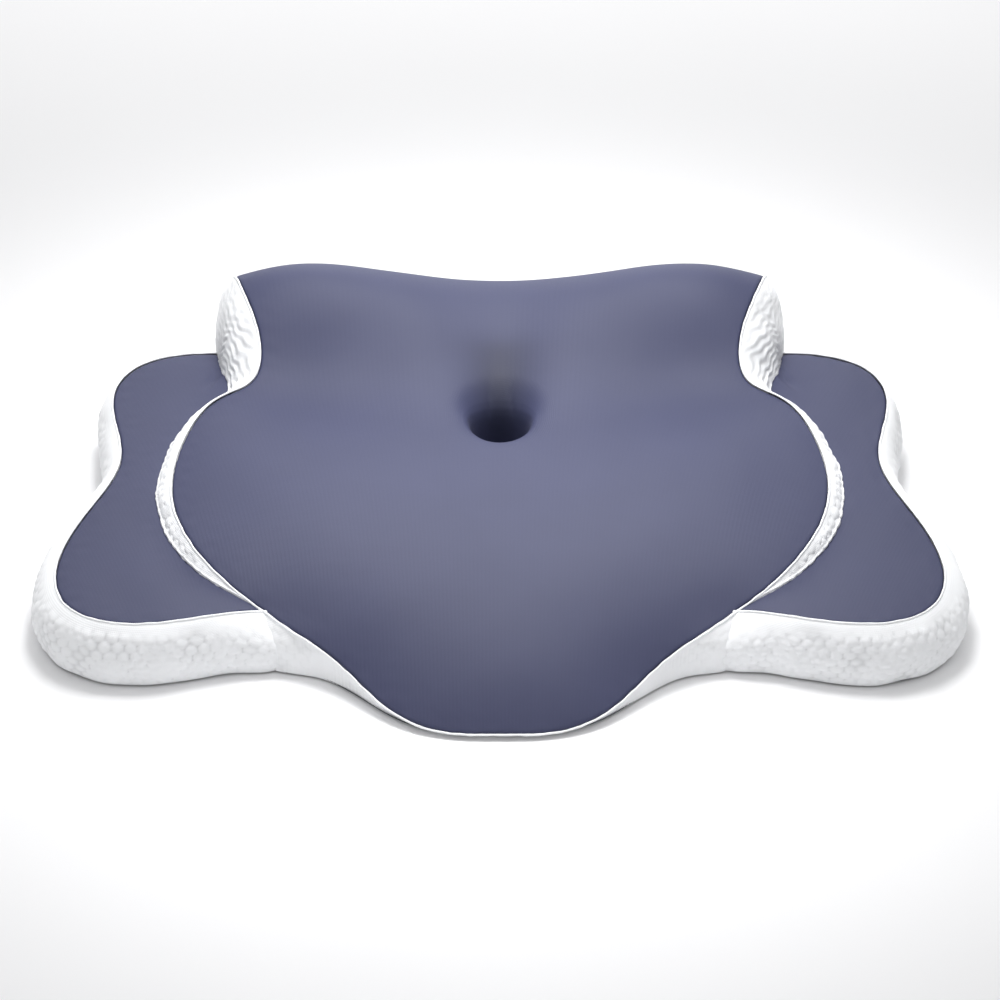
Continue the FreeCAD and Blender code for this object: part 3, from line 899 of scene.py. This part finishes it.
def back_band_grid(upper):
    """A back band's grid, with each point's distance from the zip's hem, the seam and the band's end."""
    _, edge = back_edge(np.linspace(0, 1, 200))
    share = np.linspace(0, 1, BACK_ROWS)[:, None]
    x = np.tile(np.linspace(-edge[100, 0], edge[100, 0], BACK_COLUMNS), (BACK_ROWS, 1))
    for _ in range(3):
        slot = ZIP_SLOT * (1 - smooth_step(np.abs(x), ZIP_HALF_LENGTH, ZIP_HALF_LENGTH + 5))
        z_low = ZIP_Z + slot if upper else np.full(x.shape, FOOT)
        z_high = np.full(x.shape, BAND_TOP) if upper else ZIP_Z - slot
        z = z_low + (z_high - z_low) * share
        half_width = -np.interp(z, edge[:, 2], edge[:, 0]) - 0.4
        x = half_width * np.linspace(1, -1, BACK_COLUMNS)
    above, below = z - z_low, z_high - z
    hem, seam = (above, below) if upper else (below, above)
    return np.stack([x, np.full(x.shape, BACK), z], -1), hem, seam, half_width - np.abs(x)


def back_band(upper, material):
    """One of the two white bands across the back, with a folded hem at the zip."""
    name = "upper" if upper else "lower"
    seed = 91 if upper else 97
    base, hem, seam, end = back_band_grid(upper)
    normal = np.zeros(base.shape)
    normal[:, :, 1] = 1.0
    puffed = smooth_step(hem, 4, 7) * smooth_step(seam, 1, 5) * smooth_step(end, 1, 6)
    height = 0.8 * puffed * puffs(base[:, :, 0], base[:, :, 2], seed)
    height -= edge_dip(end) + rolled(hem, 1.5, 1.5) + seam_dip(seam, 0.9)
    # the stitches draw the hem in
    height -= 0.55 * np.exp(-(((hem - HEM_STITCH) / 0.7) ** 2))
    welts = [stitch_row(ZIP_Z + (1 if upper else -1) * (ZIP_SLOT + HEM_STITCH))]
    if upper:
        welts.insert(0, welt(base[-1] - [0, 0.4, 0], seed + 3))
    return band_piece(
        "back_band_cloth_" + name, -1, base, normal, height, welts, material, ["back_band_" + name]
    )


# ---- underside, zip and label
def rim_of(faces):
    """Indices of the points on the outer edge of some triangles."""
    corners = np.array(faces)
    edges = np.sort(np.vstack([corners[:, [i, (i + 1) % 3]] for i in range(3)]), 1)
    unique, counts = np.unique(edges, axis=0, return_counts=True)
    return np.unique(unique[counts == 1])


def bottom_cloth(material):
    """The dark panel underneath, its edge turned up to the walls."""
    zero = np.zeros(900)
    centre = wall(CENTRE_RIM, whole_loop(CENTRE_RIM, len(zero)), zero, zero)[:, :2]
    left = wall(LEFT_RIM, whole_loop(LEFT_RIM, len(zero)), zero, zero)[:, :2]
    loops = [resampled(loop, 2.5) for loop in (kept_before(centre, BACK), left, left * [-1, 1])]
    inner = lattice(np.vstack(loops), 5.0)
    keep = np.zeros(len(inner), bool)
    for loop in loops:
        keep |= inside(inner, moved_in(loop, 2.0))
    inner = inner[keep]
    for loop in loops:
        inner = inner[distance_to(inner, loop) > 1.5]
    rings = [moved_in(loop, depth) for loop in loops for depth in (0.6, 1.4, 2.4, 4.0)]
    ends = np.cumsum([0] + [len(loop) for loop in loops])
    indices = [list(range(start, end)) for start, end in zip(ends[:-1], ends[1:])]
    flat, faces = filled(np.vstack(loops + rings + [inner]), indices)
    points = np.column_stack([flat, rolled(nearest(flat, flat[rim_of(faces)]), 3.0, 2.4)])
    return make_piece(
        "bottom_cloth", points, [f[::-1] for f in faces], flat, material, ["bottom_panel"]
    )


def coil(upper, material):
    """One row of the zip's nylon coil: a helix of thin wire pressed a little flat."""
    name = "upper" if upper else "lower"
    pitch, steps, radius, sides = 1.25, 12, 0.3, 6
    inset = 3.0
    turns = int((2 * ZIP_HALF_LENGTH - 2 * inset) / pitch)
    angle = np.linspace(0, 2 * math.pi * turns, turns * steps + 1)
    x = -ZIP_HALF_LENGTH + inset + pitch * angle / (2 * math.pi)
    y = BACK - 0.75 + 0.52 * np.sin(angle)
    z = ZIP_Z + (1 if upper else -1) * (1.25 + 0.62 * np.cos(angle))
    points, faces = tube(np.column_stack([x, y, z]), radius, sides)
    make_piece(
        "zipper_coil_" + name, points, faces, points[:, [0, 2]], material,
        ["zipper_chain_" + name],
    )


def care_label(material):
    """A blank label sewn into the seam, its loose end lifting a little."""
    columns, rows = 31, 17
    across = np.linspace(-LABEL_WIDTH / 2, LABEL_WIDTH / 2, columns)
    u, v = np.meshgrid(across, np.linspace(0, LABEL_LENGTH, rows))
    down = v / LABEL_LENGTH
    lift = 0.7 + 1.6 * down**2 + 0.5 * down * np.sin(u / 6.0)
    points = np.column_stack([(u + LABEL_X).ravel(), (BACK + lift).ravel(), (BAND_TOP - 0.3 - v).ravel()])
    piece = make_piece(
        "care_label_cloth", points, grid_faces(rows, columns), np.column_stack([u.ravel(), v.ravel()]),
        material, ["care_label"],
    )


# ---- materials
class Nodes:
    """A material's node tree, with one short call for each kind of node."""

    def __init__(self, name):
        self.material = bpy.data.materials.new(name)
        self.material.use_nodes = True
        self.tree = self.material.node_tree
        self.shader = self.tree.nodes["Principled BSDF"]

    def add(self, kind, values=None, **settings):
        node = self.tree.nodes.new(kind)
        for key, value in settings.items():
            setattr(node, key, value)
        for key, value in (values or {}).items():
            self.put(node.inputs[key], value)
        return node

    def put(self, socket, value):
        if isinstance(value, bpy.types.NodeSocket):
            self.tree.links.new(value, socket)
        else:
            socket.default_value = value

    def set(self, **values):
        for key, value in values.items():
            self.put(self.shader.inputs[key.replace("_", " ")], value)

    def math(self, operation, a, b):
        return self.add("ShaderNodeMath", {0: a, 1: b}, operation=operation).outputs[0]

    def mixed(self, a, b, share):
        """A number made of this share of b and the rest of a."""
        return self.math("ADD", self.math("MULTIPLY", a, 1 - share), self.math("MULTIPLY", b, share))

    def place(self):
        """The place in the piece's frame, in metres."""
        return self.add("ShaderNodeTexCoord").outputs["Object"]

    def in_millimetres(self, vector):
        scale = (1 / MM, 1 / MM, 1 / MM)
        return self.add("ShaderNodeMapping", {"Vector": vector, "Scale": scale}).outputs["Vector"]

    def cloth(self):
        """The place on the flat cloth, in millimetres."""
        return self.in_millimetres(self.add("ShaderNodeUVMap", uv_map="Cloth").outputs["UV"])

    def shade(self):
        """How much of the painted shade colour the mesh asks for here."""
        return self.add("ShaderNodeAttribute", attribute_name="shade").outputs["Fac"]

    def noise(self, vector, scale, detail=2.0):
        return self.add(
            "ShaderNodeTexNoise", {"Vector": vector, "Scale": scale, "Detail": detail}
        ).outputs["Fac"]

    def waves(self, vector, pitch, direction, distortion):
        """Bands this far apart, from 0 to 1; the node's own scale is pi / 10 over the pitch."""
        scale = math.pi / (10 * pitch)
        return self.add(
            "ShaderNodeTexWave",
            {"Vector": vector, "Scale": scale, "Distortion": distortion, "Detail": 1.0, "Detail Scale": 2.0},
            bands_direction=direction,
        ).outputs["Fac"]

    def weave(self, vector, *threads):
        """Two crossing sets of threads, each given as pitch, direction, distortion and lowest height."""
        heights = [
            self.between(self.waves(vector, pitch, direction, distortion), low, 1.0)
            for pitch, direction, distortion, low in threads
        ]
        return self.math("MULTIPLY", *heights)

    def blend(self, share, low, high):
        """A colour between low and high."""
        node = self.add("ShaderNodeMix", data_type="RGBA")
        self.put(node.inputs[0], share)
        for place, colour in ((6, low), (7, high)):
            self.put(node.inputs[place], (*colour, 1.0) if isinstance(colour, tuple) else colour)
        return node.outputs[2]

    def between(self, share, low, high):
        """A number between low and high."""
        return self.add("ShaderNodeMapRange", {0: share, 3: low, 4: high}).outputs[0]

    def bump(self, height, distance, strength):
        normal = self.add("ShaderNodeBump", {"Strength": strength, "Distance": distance, "Height": height})
        self.put(self.shader.inputs["Normal"], normal.outputs["Normal"])


def cool_knit():
    """The blue cloth: a fine stretch knit of wales and courses, with painted shade where the mesh asks for
    it.
    """
    nodes = Nodes("cool_knit")
    weave = nodes.weave(nodes.cloth(), (0.9, "X", 0.6, 0.45), (0.7, "Y", 0.4, 0.6))
    patches = nodes.noise(nodes.place(), 16.0, 3.0)
    plain = nodes.blend(nodes.mixed(weave, patches, 0.45), (0.031, 0.035, 0.075), (0.048, 0.053, 0.110))
    nodes.set(
        # painted shade: the darker blue that the groove takes
        Base_Color=nodes.blend(nodes.shade(), plain, (0.013, 0.015, 0.032)),
        Roughness=nodes.between(weave, 0.66, 0.54),
        Specular_IOR_Level=0.35,
        Sheen_Weight=0.04,
        Sheen_Roughness=0.42,
        Sheen_Tint=(0.72, 0.74, 1.0, 1.0),
    )
    nodes.bump(weave, 0.00016, 0.6)
    return nodes.material


def puff_jacquard():
    """The white cloth, with painted shade in the stitched valleys between its puffs."""
    nodes = Nodes("puff_jacquard")
    weave = nodes.weave(nodes.cloth(), (0.9, "Y", 0.8, 0.5), (0.8, "DIAGONAL", 0.8, 0.6))
    patches = nodes.noise(nodes.place(), 40.0, 4.0)
    plain = nodes.blend(nodes.mixed(weave, patches, 0.6), (0.80, 0.81, 0.825), (0.90, 0.91, 0.93))
    nodes.set(
        # painted shade: the grey that the valleys between puffs take
        Base_Color=nodes.blend(nodes.shade(), plain, (0.71, 0.72, 0.735)),
        Roughness=nodes.between(weave, 0.8, 0.62),
        Specular_IOR_Level=0.3,
        Sheen_Weight=0.25,
        Sheen_Roughness=0.5,
    )
    nodes.bump(weave, 0.00022, 0.6)
    return nodes.material


def woven(name, low, high, pitch, roughness=0.85, sheen=0.1, weft_way="Y"):
    """A plain woven cloth, its two threads across X and across another axis."""
    nodes = Nodes(name)
    place = nodes.in_millimetres(nodes.place())
    weave = nodes.weave(place, (pitch, "X", 0.5, 0.4), (pitch, weft_way, 0.5, 0.4))
    patches = nodes.noise(nodes.place(), 30.0, 3.0)
    nodes.set(
        Base_Color=nodes.blend(nodes.mixed(weave, patches, 0.4), low, high),
        Roughness=nodes.between(weave, roughness + 0.08, roughness - 0.08),
        Specular_IOR_Level=0.3,
        Sheen_Weight=sheen,
        Sheen_Roughness=0.5,
    )
    nodes.bump(weave, 0.0002, 0.6)
    return nodes.material


def hard(name, low, high, roughness, metallic, grain):
    """Moulded nylon or enamelled metal, with fine specks and small scuffs."""
    nodes = Nodes(name)
    specks = nodes.noise(nodes.place(), grain, 5.0)
    scuffs = nodes.noise(nodes.place(), grain / 8, 3.0)
    nodes.set(
        Base_Color=nodes.blend(scuffs, low, high),
        Roughness=nodes.between(specks, roughness - 0.08, roughness + 0.1),
        Metallic=metallic,
    )
    nodes.bump(specks, 0.00004, 0.4)
    return nodes.material


def foam():
    nodes = Nodes("foam")
    cells = nodes.add("ShaderNodeTexVoronoi", {"Vector": nodes.place(), "Scale": 900.0}).outputs["Distance"]
    nodes.set(
        Base_Color=nodes.blend(cells, (0.72, 0.66, 0.50), (0.90, 0.85, 0.70)),
        Roughness=nodes.between(cells, 0.85, 0.98),
        Specular_IOR_Level=0.2,
    )
    nodes.bump(cells, 0.0004, 0.8)
    return nodes.material


def finish_nodes(name, material):
    """Gives a CAD node its finished material."""
    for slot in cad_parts[name].material_slots:
        slot.material = material


# ---- stage
def area_light(name, place, aim, size, power, spread):
    """A soft lamp that the camera doesn't see; spread is the beam's full angle in degrees."""
    data = bpy.data.lights.new(name, "AREA")
    data.shape = "RECTANGLE"
    data.size, data.size_y = size
    data.energy = power
    data.spread = math.radians(spread)
    light = bpy.data.objects.new(name, data)
    light.visible_camera = False
    light.location = place
    light.rotation_euler = (Vector(aim) - Vector(place)).to_track_quat("-Z", "Y").to_euler()
    bpy.context.scene.collection.objects.link(light)


def studio():
    scene = bpy.context.scene
    scene.view_settings.view_transform = "Standard"
    world = bpy.data.worlds.new("studio")
    world.use_nodes = True
    world.node_tree.nodes["Background"].inputs["Color"].default_value = (1.0, 1.0, 1.0, 1.0)
    world.node_tree.nodes["Background"].inputs["Strength"].default_value = 0.53
    scene.world = world
    area_light("top", (0.0, 0.1, 2.2), (0.0, 0.0, 0.0), (2.0, 1.4), 8.4, 180.0)
    area_light("back", (0.0, 1.9, 0.9), (0.0, 0.0, 0.0), (1.6, 0.8), 18.0, 180.0)
    area_light("pool", (0.0, 0.14, 0.80), (0.0, 0.04, 0.07), (0.40, 0.26), 1.7, 75.0)
    area_light("front", (-0.8, -1.9, 0.8), (0.0, 0.0, 0.05), (1.6, 1.0), 3.2, 180.0)

    mesh = bpy.data.meshes.new("floor")
    reach = 6.0
    corners = [(-reach, -reach, 0), (reach, -reach, 0), (reach, reach, 0), (-reach, reach, 0)]
    mesh.from_pydata(corners, [], [(0, 1, 2, 3)])
    nodes = Nodes("floor_paint")
    grain = nodes.noise(nodes.place(), 4.0)
    nodes.set(Base_Color=nodes.blend(grain, (0.86, 0.86, 0.87), (0.88, 0.88, 0.89)), Roughness=0.9)
    mesh.materials.append(nodes.material)
    floor = bpy.data.objects.new("floor", mesh)
    scene.collection.objects.link(floor)


def camera():
    data = bpy.data.cameras.new("camera")
    data.sensor_width = 36.0
    data.lens = 103.34
    data.clip_end = 20.0
    elevation = math.radians(38.0)
    distance = 2.0
    aim = Vector((0.0, -0.007, 0.050))
    view = bpy.data.objects.new("camera", data)
    view.location = aim + distance * Vector((0.0, -math.cos(elevation), math.sin(elevation)))
    view.rotation_euler = (aim - view.location).to_track_quat("-Z", "Y").to_euler()
    bpy.context.scene.collection.objects.link(view)
    bpy.context.scene.camera = view


# ---- the scene
camera()
studio()

blue = cool_knit()
white = puff_jacquard()
dark = woven("base_cloth", (0.030, 0.032, 0.048), (0.062, 0.066, 0.092), 0.6)
nylon = hard("zip_nylon", (0.40, 0.41, 0.45), (0.50, 0.51, 0.55), 0.4, 0.0, 900.0)
metal = hard("zip_metal", (0.58, 0.59, 0.61), (0.70, 0.71, 0.73), 0.32, 0.85, 700.0)
tape = woven("zip_tape", (0.66, 0.67, 0.69), (0.84, 0.85, 0.87), 0.45, weft_way="Z")
knit = woven("liner", (0.78, 0.78, 0.77), (0.92, 0.92, 0.91), 1.0)
satin = woven("label_satin", (0.84, 0.84, 0.83), (0.93, 0.93, 0.92), 0.25, 0.5, 0.3)

padded = [centre_cloth(blue), nose_cloth(white), bottom_cloth(dark)]
for side in (-1, 1):
    padded += [wing_cloth(side, blue), centre_band(side, white), wing_band(side, white)]
for upper in (True, False):
    padded.append(back_band(upper, white))
    coil(upper, nylon)
care_label(satin)

for name, material in (
    ("foam_core", foam()), ("inner_liner_upper", knit), ("inner_liner_lower", knit),
    ("zipper_tape_upper", tape), ("zipper_tape_lower", tape), ("zipper_end_stops", metal),
    ("zipper_slider", metal), ("zipper_pull_tab", metal),
):
    finish_nodes(name, material)
